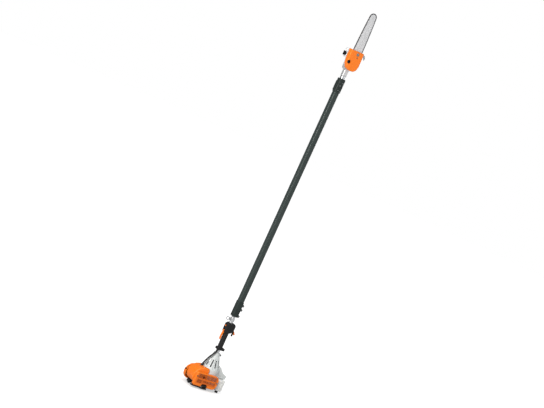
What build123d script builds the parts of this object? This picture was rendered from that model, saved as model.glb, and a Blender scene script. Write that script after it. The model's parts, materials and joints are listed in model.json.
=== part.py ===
from build123d import *
import math
import os

# Telescoping pole saw: a small engine at the foot, a two-stage pole and a chain-saw head.
# Millimetres. Origin: centre of the rear hand grip, on the drive-shaft axis. +Z runs along the
# pole towards the saw head, +X is the underside (trigger and fuel-tank side), -Y is the side
# that carries the guide bar.

# ---- driving dimensions ----
FLOOR_Z = -348.0            # lowest point of the rubber feet
FIT = 0.05                  # radial clearance of a running shaft
GAP = 0.4                   # clearance between parts that move past each other

# pole
DRIVE_TUBE_R = 13.0
DRIVE_TUBE_WALL = 2.0
DRIVE_TUBE_Z = (-122.0, 228.0)
OUTER_TUBE = (40.0, 36.0)
OUTER_TUBE_CORNER = 9.0
OUTER_TUBE_WALL = 2.2
OUTER_TUBE_Z = (231.0, 1850.0)
INNER_TUBE = (30.0, 26.0)
INNER_TUBE_CORNER = 6.0
INNER_TUBE_WALL = 2.0
INNER_TUBE_Z = (300.0, 1945.0)
LOWER_SHAFT_R = 6.0
LOWER_SHAFT_Z = (-178.0, 1600.0)
HEX_BORE = 7.6              # across flats, inside the hollow lower shaft
HEX_ROD = 7.0               # across flats, upper shaft
HEX_ROD_Z = (250.0, 1936.0)
LOWER_CLAMP = (46.0, 42.0)
LOWER_CLAMP_Z = (172.0, 281.0)
UPPER_CLAMP = (47.0, 43.0)
UPPER_CLAMP_Z = (1790.0, 1885.0)

# engine
HOUSING_R = 63.0
HOUSING_Z = (-266.0, -96.0)
HOUSING_WALL = 2.6
CRANKCASE_R = 44.0
CRANKCASE_Z = (-302.0, -234.0)
CYLINDER_Z = -274.0
BORE_R = 20.0
FIN = 28.5                  # half width of the cooling fins
PLUG_X = -90.0
FLYWHEEL_R = 56.0
FLYWHEEL_Z = (-231.0, -206.0)
CLUTCH_R = 27.0
DRUM_R = 31.0
DRUM_Z = (-202.0, -176.0)
SHROUD_Y = (-60.0, 40.0)
SHROUD_BOTTOM = -318.0
COVER_WALL = 2.4
MUFFLER_COVER_X = (-126.0, 56.0)
MUFFLER_COVER_Y = (-80.0, -62.0)
MUFFLER_COVER_Z = (-330.0, -236.0)
FILTER_Y = (42.0, 78.0)
PRIMER_PLACE = (-72.0, 62.0)
PRIMER_Z = -330.3
CHOKE_PIVOT = (-96.0, -271.0)
CHOKE_PIN_R = 1.6
TANK_X = (66.0, 122.0)
TANK_HALF_Y = 58.0
TANK_Z = (-334.0, -254.0)
FUEL_NECK = (94.0, -294.0)
STARTER_R = 48.5
STARTER_SCREW_R = 43.0
STARTER_Z = (-340.0, -304.0)
ROPE_X = -34.0
ROPE_Z = -321.0
ROPE_R = 1.75

# rear handle
GRIP_R = 18.0
GRIP_Z = (-57.0, 60.0)
FLANGE_THICK = 15.0
TRIGGER_PIVOT = (20.0, 82.0)
LOCK_PIVOT = (-22.0, 62.0)
TRIGGER_PIN_R = 2.5
LOCK_PIN_R = 2.0

# saw head
SHAFT_Z = 1995.0            # height of the sprocket axis
BAR_Y = -35.0               # middle plane of bar and chain
BAR_THICK = 4.0
BAR_TAIL_Z = 2022.0
NOSE_Z = 2324.0              # centre of the round bar nose
BAR_SLIDE = 8.0
CHAIN_HALF = 3.2
CHAIN_HIGH = 7.5
SPROCKET_R = 15.0
CHAIN_TURN_R = 16.5
STUD_Z = 2067.0
STUD_R = 4.0
PEG_Z = 2048.0
NUT_SEAT_Y = -51.0
PINION_R = 12.0
GEAR_R = 18.0
PLATE_Y = (-22.0, -18.0)
COVER_Y = (-56.0, -22.5)


def block(x, y, z):
    """Box from three (low, high) pairs."""
    centre = Pos((x[0] + x[1]) / 2, (y[0] + y[1]) / 2, (z[0] + z[1]) / 2)
    return centre * Box(x[1] - x[0], y[1] - y[0], z[1] - z[0])


def post(r, z, x=0.0, y=0.0):
    """Cylinder along Z."""
    return Pos(x, y, (z[0] + z[1]) / 2) * Cylinder(r, z[1] - z[0])


def rod_x(r, x, y=0.0, z=0.0):
    """Cylinder along X."""
    return Pos((x[0] + x[1]) / 2, y, z) * Rot(0, 90, 0) * Cylinder(r, x[1] - x[0])


def rod_y(r, y, x=0.0, z=0.0):
    """Cylinder along Y."""
    return Pos(x, (y[0] + y[1]) / 2, z) * Rot(90, 0, 0) * Cylinder(r, y[1] - y[0])


def prism_z(outline, z):
    """Sketch in XY pulled up from z[0] to z[1]."""
    return extrude(Plane.XY.offset(z[0]) * outline, z[1] - z[0])


def prism_y(points, y):
    """Polygon of (x, z) points pulled along Y from y[0] to y[1]."""
    face = make_face(Polyline([(px, 0, pz) for px, pz in points], close=True))
    return Pos(0, y[0], 0) * extrude(face, y[1] - y[0], dir=(0, 1, 0))


def prism_x(points, x):
    """Polygon of (y, z) points pulled along X from x[0] to x[1]."""
    face = make_face(Polyline([(0, py, pz) for py, pz in points], close=True))
    return Pos(x[0], 0, 0) * extrude(face, x[1] - x[0], dir=(1, 0, 0))


def turned(points):
    """Solid of revolution about Z from (r, z) points."""
    face = make_face(Polyline([(r, 0, z) for r, z in points], close=True))
    return revolve(face, Axis.Z, 360)


def rounded_tube(size, corner, wall, z):
    inner = (size[0] - 2 * wall, size[1] - 2 * wall)
    outline = RectangleRounded(size[0], size[1], corner) - RectangleRounded(*inner, corner - wall)
    return prism_z(outline, z)


def socket_screw(head_r, shank_r, head, shank):
    """Socket-head screw along +Z, head on top with its underside at z = 0."""
    body = post(head_r, (0, head)) + post(shank_r, (-shank, 0))
    key = prism_z(RegularPolygon(head_r * 0.55, 6), (head * 0.4, head))
    return body - key


def save(shape, node):
    export_step(shape, "parts/" + node + ".step")


def group(solids):
    return Compound(children=[s for part in solids for s in part.solids()])


# ---- pole ----
def drive_tube():
    return post(DRIVE_TUBE_R, DRIVE_TUBE_Z) - post(DRIVE_TUBE_R - DRIVE_TUBE_WALL, DRIVE_TUBE_Z)


def outer_tube():
    return rounded_tube(OUTER_TUBE, OUTER_TUBE_CORNER, OUTER_TUBE_WALL, OUTER_TUBE_Z)


def inner_tube():
    return rounded_tube(INNER_TUBE, INNER_TUBE_CORNER, INNER_TUBE_WALL, INNER_TUBE_Z)


def slide_bush():
    """Sleeve on the foot of the inner tube, with a ring that steadies the hollow shaft."""
    sleeve_w = OUTER_TUBE[0] - 2 * OUTER_TUBE_WALL - 2 * GAP
    sleeve_d = OUTER_TUBE[1] - 2 * OUTER_TUBE_WALL - 2 * GAP
    foot = INNER_TUBE_Z[0]
    sleeve = prism_z(RectangleRounded(sleeve_w, sleeve_d, 6), (foot - 6, foot + 45))
    sleeve -= prism_z(RectangleRounded(*INNER_TUBE, INNER_TUBE_CORNER), (foot, foot + 45))
    return sleeve - post(LOWER_SHAFT_R + GAP, (foot - 7, foot + 1))


def tube_bushes():
    """Bushes that carry the shaft in the drive tube, and the slide guide at the top."""
    bore = DRIVE_TUBE_R - DRIVE_TUBE_WALL
    bushes = []
    for z in (-95.0, 20.0, 205.0):
        bushes.append(post(bore, (z, z + 18)) - post(LOWER_SHAFT_R + FIT, (z, z + 18)))
    inner = (OUTER_TUBE[0] - 2 * OUTER_TUBE_WALL, OUTER_TUBE[1] - 2 * OUTER_TUBE_WALL)
    hole = (INNER_TUBE[0] + 2 * GAP, INNER_TUBE[1] + 2 * GAP)
    corner = OUTER_TUBE_CORNER - OUTER_TUBE_WALL
    guide = RectangleRounded(*inner, corner) - RectangleRounded(*hole, INNER_TUBE_CORNER + GAP)
    bushes.append(prism_z(guide, (OUTER_TUBE_Z[1] - 90, OUTER_TUBE_Z[1])))
    return group(bushes)


LUG_Z = (181.0, 227.0, 257.0)


def lower_clamp():
    """Clamp that joins the round drive tube to the profiled outer tube."""
    body = prism_z(RectangleRounded(*LOWER_CLAMP, 11), LOWER_CLAMP_Z)
    top_edges = body.edges().group_by(Axis.Z)[-1] + body.edges().group_by(Axis.Z)[0]
    body = chamfer(top_edges, 2.5)
    for z in LUG_Z:
        body += rod_y(8.5, (-13, 13), 27, z)
        body += block((16, 27), (-13, 13), (z - 8.5, z + 8.5))
    for groove in (205.0, 215.0):
        body -= block((-30, 30), (-30, -LOWER_CLAMP[1] / 2 + 1.2), (groove, groove + 3))
    body -= post(DRIVE_TUBE_R, (LOWER_CLAMP_Z[0], DRIVE_TUBE_Z[1] + 0.5))
    body -= post(DRIVE_TUBE_R - DRIVE_TUBE_WALL, LOWER_CLAMP_Z)
    body -= prism_z(RectangleRounded(*OUTER_TUBE, OUTER_TUBE_CORNER), (OUTER_TUBE_Z[0], LOWER_CLAMP_Z[1]))
    body -= block((19, 40), (-1.2, 1.2), LOWER_CLAMP_Z)
    for z in LUG_Z:
        body -= rod_y(2.8, (-20, 20), 28.5, z)
        body -= rod_y(5.4, (-20, -8), 28.5, z)
    return body


def upper_clamp():
    """Clamp head on top of the outer tube; its lip lets only the inner tube through."""
    body = prism_z(RectangleRounded(*UPPER_CLAMP, 12), UPPER_CLAMP_Z)
    body = chamfer(body.edges().group_by(Axis.Z)[-1], 3)
    body = chamfer(body.edges().group_by(Axis.Z)[0], 1.5)
    body += rod_y(10, (18, 25), 0, CLAMP_KNOB_Z)
    body += prism_y([(-27, 1800), (-20, 1796), (-20, 1868), (-27, 1862)], (-13, 13))
    body -= prism_z(RectangleRounded(*OUTER_TUBE, OUTER_TUBE_CORNER), (UPPER_CLAMP_Z[0], OUTER_TUBE_Z[1]))
    lip = (INNER_TUBE[0] + 2 * GAP, INNER_TUBE[1] + 2 * GAP)
    body -= prism_z(RectangleRounded(*lip, INNER_TUBE_CORNER + GAP), UPPER_CLAMP_Z)
    body -= rod_y(5, (20.5, 26), 0, CLAMP_KNOB_Z)
    for x, z in SPOT_HOLES:
        body -= rod_y(3.1, (-25, -20.4), x, z)
    return body


CLAMP_KNOB_Z = 1832.0
SPOT_HOLES = ((-6.0, 1806.0), (9.0, 1801.0), (-4.0, 1838.0), (10.0, 1858.0))


def clamp_knob():
    """Five-lobed hand screw that locks the extension."""
    head = rod_y(13, (25.5, 35), 0, CLAMP_KNOB_Z)
    for i in range(5):
        a = math.radians(72 * i)
        head -= rod_y(4.2, (25, 36), 16 * math.cos(a), CLAMP_KNOB_Z + 16 * math.sin(a))
    head = head + rod_y(7, (35, 37.5), 0, CLAMP_KNOB_Z)
    return head + rod_y(5 - FIT, (21, 25.5), 0, CLAMP_KNOB_Z)


def clamp_screws():
    """Screws of the lower clamp, the eyelet, the housing collar and the upper clamp."""
    screws = []
    for z in LUG_Z:
        screws.append(Pos(28.5, -8, z) * Rot(90, 0, 0) * socket_screw(5, 2.8, 5, 21))
    screws.append(Pos(-18.2, -7.3, EYELET_Z) * Rot(90, 0, 0) * socket_screw(4.5, 2.5, 5, 14.6))
    screws.append(Pos(25, -9, COLLAR_SCREW_Z) * Rot(90, 0, 0) * socket_screw(4.5, 2.5, 5, 18))
    for x, z in SPOT_HOLES:
        screws.append(Pos(x, -21.2, z) * Rot(90, 0, 0) * post(3.1, (-0.8, 1.4)))
    return group(screws)


EYELET_Z = 148.0
COLLAR_SCREW_Z = -106.0
EYELET_X = -36.0


def carrying_eyelet():
    """Clamp band with a ring for the shoulder harness."""
    band = post(DRIVE_TUBE_R + 3.2, (EYELET_Z - 9, EYELET_Z + 9))
    band += block((-25, -12), (-7.3, 7.3), (EYELET_Z - 9, EYELET_Z + 9))
    ring = rod_y(12.5, (-2.5, 2.5), EYELET_X, EYELET_Z)
    band += ring
    band -= post(DRIVE_TUBE_R, (EYELET_Z - 10, EYELET_Z + 10))
    band -= rod_y(9, (-4, 4), EYELET_X, EYELET_Z)
    band -= rod_y(2.5, (-9, 9), -18.2, EYELET_Z)
    band -= rod_y(4.7, (-16, -7.3), -18.2, EYELET_Z)
    return band - block((10, 20), (-2, 2), (EYELET_Z - 10, EYELET_Z + 10))


# ---- rear handle ----
def handle_body():
    flange = block((-24, 36), (-22, 22), (GRIP_Z[0] - FLANGE_THICK, GRIP_Z[0]))
    flange = fillet(flange.edges().filter_by(Axis.Z), 12)
    flange = fillet(flange.edges().group_by(Axis.Z)[0], 3)
    grip = post(GRIP_R, (GRIP_Z[0] - 6, GRIP_Z[1] + 6))
    for i in range(8):
        z = GRIP_Z[0] + 12 + i * 12
        grip -= block((8, 20), (-20, 20), (z, z + 3)) - post(GRIP_R - 1.1, (z - 1, z + 4))
    head_outline = [(-29, 72), (-26, 54), (-18, 48), (22, 56), (38, 78), (38, 112), (28, 124), (-14, 124), (-28, 112)]
    head = prism_y(head_outline, (-20, 20))
    head = fillet(head.edges().filter_by(Axis.Y), 6)
    head = fillet(head.edges().group_by(Axis.Y)[0] + head.edges().group_by(Axis.Y)[-1], 4.5)
    guard = prism_y([(28, 82), (34, 60), (33, 46), (37, 38), (43, 42), (43, 62), (38, 84)], (-15, -9))
    guard = fillet(guard.edges().filter_by(Axis.Y), 2.2)
    solid = flange + grip + head + guard
    solid -= post(DRIVE_TUBE_R, (-80, 130))
    solid -= block((12.5, 40), (-6.5, 6.5), (50, 100))
    solid -= block((-34, -13.4), (-6.5, 6.5), (40, 80))
    solid -= block((-34, -22), (-6, 6), (90, 110))
    run = Vector(*CABLE_POINTS[1]) - Vector(*CABLE_POINTS[0])
    solid -= Plane(origin=CABLE_POINTS[0], z_dir=run) * Cylinder(CABLE_R + 0.2, 16)
    solid -= rod_y(TRIGGER_PIN_R, (-11, 11), *TRIGGER_PIVOT)
    solid -= rod_y(LOCK_PIN_R, (-11, 11), *LOCK_PIVOT)
    for x, z in HANDLE_SCREWS:
        solid -= rod_y(1.8, (-30, 30), x, z)
        solid -= rod_y(3.6, (-30, -14), x, z)
    return solid


HANDLE_SCREWS = ((27.0, -64.5), (30.0, 110.0), (-19.5, 85.0))


def handle_half(solid, side):
    """side -1 keeps y < 0, side 1 keeps y > 0."""
    keep = block((-100, 100), (-60, -0.02) if side < 0 else (0.02, 60), (-100, 200))
    return solid & keep


def housing_screws():
    """Screws and pivot pins of the handle, screws of the muffler cover and the starter."""
    screws = [rod_y(TRIGGER_PIN_R, (-11, 11), *TRIGGER_PIVOT), rod_y(LOCK_PIN_R, (-11, 11), *LOCK_PIVOT)]
    for x, z in HANDLE_SCREWS:
        screws.append(Pos(x, -14, z) * Rot(90, 0, 0) * socket_screw(3.5, 1.8, 3.5, 22))
    for x, z in COVER_SCREWS:
        screws.append(Pos(x, MUFFLER_COVER_Y[0], z) * Rot(90, 0, 0) * socket_screw(4.5, 2, 2.5, 16))
    for px, py in starter_screw_places():
        screws.append(Pos(px, py, STARTER_Z[0]) * Rot(180, 0, 0) * socket_screw(4, 2, 2.5, 25))
    return group(screws)


COVER_SCREWS = ((-115.0, -262.0), (45.0, -278.0))


def starter_screw_places():
    places = []
    for a in (90, 200, 330):
        places.append((STARTER_SCREW_R * math.cos(math.radians(a)), STARTER_SCREW_R * math.sin(math.radians(a))))
    return places


def throttle_trigger():
    px, pz = TRIGGER_PIVOT
    blade = prism_y([(px - 6, pz - 8), (px + 6, pz + 7), (44, 80), (54, 69), (64, 54), (60, 48), (47, 55), (34, 66)],
                    (-6, 6))
    blade = fillet(blade.edges().filter_by(Axis.Y), 2)
    blade += rod_y(6.5, (-6, 6), px, pz)
    return blade - rod_y(TRIGGER_PIN_R + FIT, (-7, 7), px, pz)


def interlock_lever():
    px, pz = LOCK_PIVOT
    bar = prism_y([(px - 3, pz + 8), (px - 8, pz + 2), (-33, 22), (-33, 6), (-29, -4), (-26, -3), (-26, 32),
                   (px + 2, pz - 6)], (-6, 6))
    bar = fillet(bar.edges().filter_by(Axis.Y), 1.2)
    bar += rod_y(5, (-6, 6), px, pz)
    return bar - rod_y(LOCK_PIN_R + FIT, (-7, 7), px, pz)


def stop_slider():
    knob = block((-31, -24.5), (-5.4, 5.4), (92, 102))
    knob = fillet(knob.edges().filter_by(Axis.Y), 1.5)
    for i in range(3):
        knob -= block((-32, -30.2), (-6, 6), (94 + 2.4 * i, 95 + 2.4 * i))
    return knob


# The cable leaves the handle flange, bows out towards -X and dives into the engine shroud.
CABLE_R = 5.5
CABLE_POINTS = [(-14, -13.5, -68), (-20, -16.5, -82), (-29.5, -18.5, -98), (-40, -17.5, -113),
                (-50, -15.5, -130), (-59, -13, -148), (-67, -10.5, -167), (-74, -8.5, -187),
                (-80.3, -8.1, -214)]


def fillet_radii(points):
    """Largest tangent arcs that the two runs at each corner leave room for."""
    radii = []
    for i in range(1, len(points) - 1):
        before = Vector(*points[i]) - Vector(*points[i - 1])
        after = Vector(*points[i + 1]) - Vector(*points[i])
        turn = math.radians(before.get_angle(after))
        radii.append(0.45 * min(before.length, after.length) / math.tan(turn / 2))
    return radii


def throttle_cable():
    radii = fillet_radii(CABLE_POINTS)
    path = FilletPolyline(*CABLE_POINTS, radius=radii)
    section = Plane(origin=path @ 0, z_dir=path % 0) * Circle(CABLE_R)
    cable = sweep(section, path=path)
    print("throttle cable length:", round(path.length, 1), "volume ratio:",
          round(cable.volume / (math.pi * CABLE_R ** 2 * path.length), 3))
    return cable


# ---- engine ----
def housing_profile(grow=0.0):
    """Outer (r, z) outline of the bell housing, from the skirt up to the collar."""
    return [(HOUSING_R + grow, HOUSING_Z[0]), (HOUSING_R + grow, -206), (60 + grow, -199), (50 + grow, -181),
            (39 + grow, -154), (29.5 + grow, -128), (24 + grow, -114), (24 + grow, HOUSING_Z[1])]


def housing_inner():
    inside = HOUSING_R - HOUSING_WALL
    return turned([(0, HOUSING_Z[0]), (inside, HOUSING_Z[0]), (inside, -207), (57, -200), (47, -182),
                   (36, -155), (25.5, -130), (DRIVE_TUBE_R, DRIVE_TUBE_Z[0]), (0, DRIVE_TUBE_Z[0])])


def fan_housing():
    """Bell housing: tube collar at the top, cooling-air windows in the cone, wing over the tank."""
    body = turned([(0, HOUSING_Z[0])] + housing_profile() + [(0, HOUSING_Z[1])])
    wing = prism_y([(40, -170), (60, -182), (88, -212), (122, -226), (122, -250), (50, -250)], (-34, 34))
    wing = fillet(wing.edges().filter_by(Axis.Y).sort_by(Axis.X)[-2:], 5)
    hollow = prism_y([(38, -176), (58, -186), (86, -216), (118.5, -229.5), (118.5, -246.5), (50, -246.5)], (-30, 30))
    body += wing - hollow
    body += rod_y(8, (-11, 11), 25, COLLAR_SCREW_Z) + block((12, 25), (-11, 11), (COLLAR_SCREW_Z - 8, COLLAR_SCREW_Z + 8))
    body -= housing_inner()
    body -= block((-80, -30), (-61.5, 33), (HOUSING_Z[0] - 2, -240.5))
    body -= post(DRIVE_TUBE_R, (DRIVE_TUBE_Z[0], -80))
    body -= block((14, 40), (-1, 1), (-116, -90))
    body -= rod_y(2.5, (-14, 14), 25, COLLAR_SCREW_Z)
    body -= rod_y(5, (-16, -9), 25, COLLAR_SCREW_Z)
    for i in range(10):
        window = block((25, 62), (-4.5, 4.5), (-191, -142))
        body -= Rot(0, 0, 36 * i + 18) * window
    for i in (0, 1, 2, 3, 4, 6, 7, 8, 9):
        rib = prism_y([(24.5, -119), (27.5, -117), (41.5, -152), (52.5, -179), (62.5, -198), (60, -202), (48, -181),
                       (37, -154)], (-1.3, 1.3))
        body += Rot(0, 0, 36 * i) * rib
    return body


def crankcase():
    """Hollow crankcase with a flange that closes the fan chamber and an opening to the cylinder."""
    body = post(CRANKCASE_R, CRANKCASE_Z) + post(HOUSING_R - HOUSING_WALL, (-238, -234))
    body -= post(37, (-296, -242))
    body -= post(8 + FIT, (-308, -228))
    body += block((-45, -30), (-26, 26), (-300, -248)) - post(37, (-308, -228))
    body -= rod_x(BORE_R, (-60, -20), 0, CYLINDER_Z)
    for i in range(6):
        body += Rot(0, 0, 60 * i + 30) * block((CRANKCASE_R - 1, CRANKCASE_R + 2.5), (-1.5, 1.5), (-300, -239))
    return body


def cylinder():
    """Finned cylinder with its rocker cover at the end."""
    body = rod_x(BORE_R + 4, (-100.5, -45.0), 0, CYLINDER_Z)
    for i in range(9):
        x = -94.0 + i * 5.2
        fin = block((x, x + 1.6), (-FIN, FIN), (CYLINDER_Z - FIN, CYLINDER_Z + FIN))
        body += fillet(fin.edges().filter_by(Axis.X), 6)
    body -= post(9.5, (-264, -228), PLUG_X, 0)
    body -= rod_x(BORE_R, (-90, -40), 0, CYLINDER_Z)
    rocker = block((-113, -100), (-20, 20), (CYLINDER_Z - 22, CYLINDER_Z + 22))
    rocker = fillet(rocker.edges().filter_by(Axis.X), 7)
    body += rocker
    body += block((-88, -62), (FIN - 8, FIN + 8.5), (CYLINDER_Z - 10, CYLINDER_Z + 10))
    return body


def spark_plug():
    plug = post(7, (-250, -242), PLUG_X, 0) + prism_z(Pos(PLUG_X, 0) * RegularPolygon(9, 6), (-264, -256))
    return plug + post(5.5, (-256, -234), PLUG_X, 0)


def spark_plug_boot():
    boot = post(8.5, (-242, -214), PLUG_X, 0) - post(5.5, (-243, -234), PLUG_X, 0)
    boot += rod_y(4.5, (-20, 0), PLUG_X, -220)
    return boot


def muffler():
    body = block((-108, -52), (-57.2, -32), (-302.5, -245))
    body = fillet(body.edges().filter_by(Axis.Y), 8)
    body = fillet(body.edges().group_by(Axis.Y)[0], 4)
    body += rod_y(6, (-66, -56), -64, -264)
    return body - rod_y(4.5, (-67, -50), -64, -264)


def louvre_rows():
    """Two banks of long louvre slots on the front of the muffler cover."""
    cuts = []
    for i in range(4):
        z = -249.0 - i * 7.0
        cuts.append(block((-102, 34), (-90, -70), (z, z + 3.2)))
    for i in range(3):
        z = -289.0 - i * 7.0
        cuts.append(block((-102, -68), (-90, -70), (z, z + 3.2)))
        if i < 2:
            cuts.append(block((-60, 34), (-90, -70), (z, z + 3.2)))
    return cuts


def muffler_cover():
    """Louvred heat cover; an arch at the lower edge leaves room for the starter grip."""
    x, y, z = MUFFLER_COVER_X, MUFFLER_COVER_Y, MUFFLER_COVER_Z
    body = block(x, y, z)
    body = fillet(body.edges().filter_by(Axis.Y).sort_by(Axis.X)[-2:], 32)
    body = fillet(body.edges().filter_by(Axis.Y).sort_by(Axis.X)[:2], 12)
    body = fillet(body.edges().group_by(Axis.Y)[0], 6)
    w = COVER_WALL
    inner = block((x[0] + w, x[1] - w), (y[0] + w, y[1]), (z[0] + w, z[1] - w))
    inner = fillet(inner.edges().filter_by(Axis.Y).sort_by(Axis.X)[-2:], 30)
    body -= fillet(inner.edges().filter_by(Axis.Y).sort_by(Axis.X)[:2], 10)
    ridge = prism_x([(y[0] + 0.2, -281), (y[0] - 2.5, -279.5), (y[0] - 2.5, -277.5), (y[0] + 0.2, -276)], (-118, 38))
    body += ridge
    for cut in louvre_rows():
        body -= cut
    arch = prism_y([(-62, -340), (-62, -316), (-54, -307), (-24, -307), (-14, -317), (-14, -340)], (-90, -60))
    body -= arch
    body -= rod_y(6.5, (-90, -70), -64, -264)
    for sx, sz in COVER_SCREWS:
        body -= rod_y(2, (-90, -60), sx, sz)
    return body - post(HOUSING_R + 1.5, HOUSING_Z)


SHROUD_OUTLINE = [(-26, SHROUD_BOTTOM), (-26, -215), (-36, -203), (-70, -203), (-98, -210), (-120, -228),
                  (-133, -255), (-135, -284), (-127, -306), (-110, SHROUD_BOTTOM)]
SHROUD_INNER = [(-20, -315.6), (-20, -206), (-38, -205.4), (-69, -205.4), (-97, -212.4), (-118, -229.6),
                (-130.6, -256), (-132.6, -284), (-125, -304.4), (-109, -315.6)]


def engine_shroud():
    """Top shroud over cylinder and plug, open towards the crankcase."""
    body = prism_y(SHROUD_OUTLINE, SHROUD_Y)
    bends = [e for e in body.edges().filter_by(Axis.Y) if e.center().X < -60]
    body = fillet(bends, 26)
    rim = body.edges().group_by(Axis.Y)[0] + body.edges().group_by(Axis.Y)[-1]
    keep = [e for e in rim if e.center().Z > SHROUD_BOTTOM + 3 and e.center().X < -30]
    body = fillet(keep, 9)
    inner_y = (SHROUD_Y[0] + COVER_WALL, SHROUD_Y[1] - COVER_WALL)
    inner = prism_y(SHROUD_INNER, inner_y)
    bends = [e for e in inner.edges().filter_by(Axis.Y) if e.center().X < -60]
    inner = fillet(bends, 23)
    rim = inner.edges().group_by(Axis.Y)[0] + inner.edges().group_by(Axis.Y)[-1]
    keep = [e for e in rim if e.center().Z > SHROUD_BOTTOM + 5 and e.center().X < -30]
    body -= fillet(keep, 6)
    body -= turned([(0, HOUSING_Z[0] - 1), (HOUSING_R + 5, HOUSING_Z[0] - 1)] + housing_profile(5)[1:]
                   + [(0, HOUSING_Z[1])])
    body -= block((-62, -14), (-70, -50), (-330, -304))
    body -= post(STARTER_R + 1.0, (STARTER_Z[0], STARTER_Z[1] + 1))
    body -= block((-110, -50), (SHROUD_Y[0] - 1, SHROUD_Y[0] + 5), (-310, -244))
    body -= block((-92, -60), (SHROUD_Y[1] - 5, SHROUD_Y[1] + 1), (-290, -258))
    return body - Pos(-78.6, -8.2, -206) * Rot(0, 13, 0) * Cylinder(CABLE_R + 2, 40)


def air_filter_cover():
    """Rounded, grooved cover of the air filter."""
    outline = [(-44, -218), (-72, -222), (-106, -232), (-128, -254), (-139, -284), (-134, -312), (-118, -330),
               (-44, -330)]
    body = prism_y(outline, FILTER_Y)
    body = fillet([e for e in body.edges().filter_by(Axis.Y) if e.center().X < -60], 18)
    body = fillet(body.edges().group_by(Axis.Y)[-1], 12)
    inner = [(-47, -221.5), (-71, -225.5), (-104, -235.5), (-125.3, -256), (-135.6, -284), (-131, -310.5),
             (-116.5, -327), (-47, -327)]
    cavity = prism_y(inner, (FILTER_Y[0], FILTER_Y[1] - 3))
    cavity = fillet([e for e in cavity.edges().filter_by(Axis.Y) if e.center().X < -60], 15)
    body -= fillet(cavity.edges().group_by(Axis.Y)[-1], 9)
    for i in range(6):
        z = -246.0 - i * 13.0
        body -= block((-120, -56), (FILTER_Y[1] - 1.4, FILTER_Y[1] + 1), (z, z + 4))
    body -= rod_y(7, (60, 90), -84, -280)
    body -= post(HOUSING_R + 3, HOUSING_Z)
    body -= block((-148, -116), (49.5, 55), (-279, -238))
    return body - post(9.6, (-338, -318), *PRIMER_PLACE)


def filter_knob():
    knob = rod_y(13, (78.6, 86), -84, -280) + rod_y(6.4, (68, 79), -84, -280)
    for i in range(10):
        a = math.radians(36 * i)
        knob -= rod_y(2.2, (77, 87), -84 + 14 * math.cos(a), -280 + 14 * math.sin(a))
    return knob


def carburettor():
    """Carburettor body with the bracket and pin of the choke lever."""
    body = block((-90, -62), (41, 52), (-290, -258)) + rod_y(11, (39.6, 56), -76, -274)
    body -= rod_y(8, (39, 57), -76, -274)
    body += block((-100, -90), (43, 50), (-284, -264))
    return body + rod_y(CHOKE_PIN_R, (49, 55), *CHOKE_PIVOT)


def air_filter():
    pad = block((-110, -58), (57.5, 66), (-318, -254))
    pad = fillet(pad.edges().filter_by(Axis.Y), 8)
    return pad - rod_y(7.5, (55, 70), -84, -280)


def choke_lever():
    px, pz = CHOKE_PIVOT
    lever = block((-147, px), (50.5, 54), (pz - 4, pz + 4))
    lever = fillet(lever.edges().filter_by(Axis.Y).sort_by(Axis.X)[:2], 2.5)
    lever += rod_y(4, (50.5, 54), px, pz)
    return lever - rod_y(CHOKE_PIN_R + FIT, (48, 56), px, pz)


def fuel_tank():
    """Translucent tank under the housing wing, with a filler neck on the -Y side."""
    body = block(TANK_X, (-TANK_HALF_Y, TANK_HALF_Y), TANK_Z)
    body = fillet(body.edges().filter_by(Axis.Z), 14)
    body = fillet(body.edges().group_by(Axis.Z)[0] + body.edges().group_by(Axis.Z)[-1], 8)
    inner = block((TANK_X[0] + 2.5, TANK_X[1] - 2.5), (-TANK_HALF_Y + 2.5, TANK_HALF_Y - 2.5),
                  (TANK_Z[0] + 2.5, TANK_Z[1] - 2.5))
    inner = fillet(inner.edges().filter_by(Axis.Z), 11.5)
    inner = fillet(inner.edges().group_by(Axis.Z)[0] + inner.edges().group_by(Axis.Z)[-1], 5.5)
    neck = rod_y(16, (TANK_HALF_Y - 6, TANK_HALF_Y + 8), *FUEL_NECK)
    body += neck
    body -= inner
    return body - rod_y(13, (TANK_HALF_Y - 10, TANK_HALF_Y + 9), *FUEL_NECK)


def screw_cap(y0, x, z, r):
    """Round cap with a raised grip bar, lying along Y."""
    cap = rod_y(r, (y0, y0 + 9), x, z)
    for i in range(16):
        a = math.radians(22.5 * i)
        cap -= rod_y(1.3, (y0 + 1, y0 + 10), x + (r + 0.5) * math.cos(a), z + (r + 0.5) * math.sin(a))
    cap += block((x - r * 0.8, x + r * 0.8), (y0 + 9, y0 + 14), (z - 2.5, z + 2.5))
    return cap + rod_y(12.6, (y0 - 9, y0), x, z)


def fuel_cap():
    return screw_cap(TANK_HALF_Y + 8.5, *FUEL_NECK, 19)


def primer_bulb():
    """Soft dome that pumps fuel, on the underside of the filter cover."""
    dome = Sphere(9) & Pos(0, 0, -5) * Box(20, 20, 10)
    return Pos(*PRIMER_PLACE, PRIMER_Z) * dome


def starter_housing():
    """Recoil starter casing with a skid arm on the cylinder side and cooling slots below."""
    body = post(STARTER_R, STARTER_Z)
    body = fillet(body.edges().group_by(Axis.Z)[0], 6)
    arm = block((-118, 0), (-10, 26), (-340, -320.5))
    body += fillet(arm.edges().filter_by(Axis.Z), 8)
    body -= post(STARTER_R - 3, (STARTER_Z[0] + 3, STARTER_Z[1]))
    body -= block((ROPE_X - 5, ROPE_X + 5), (-60, -18), (ROPE_Z - 5, ROPE_Z + 5))
    body += post(5, (STARTER_Z[0] + 1, STARTER_Z[1] - 1))
    for i in range(9):
        body -= Rot(0, 0, 40 * i) * block((16, 38), (-2.2, 2.2), (STARTER_Z[0] - 1, STARTER_Z[0] + 4))
    for px, py in starter_screw_places():
        body += post(3.4, (STARTER_Z[0] + 1, STARTER_Z[1]), px, py)
        body -= post(2, (STARTER_Z[0] - 1, STARTER_Z[0] + 26), px, py)
    return body


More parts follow.
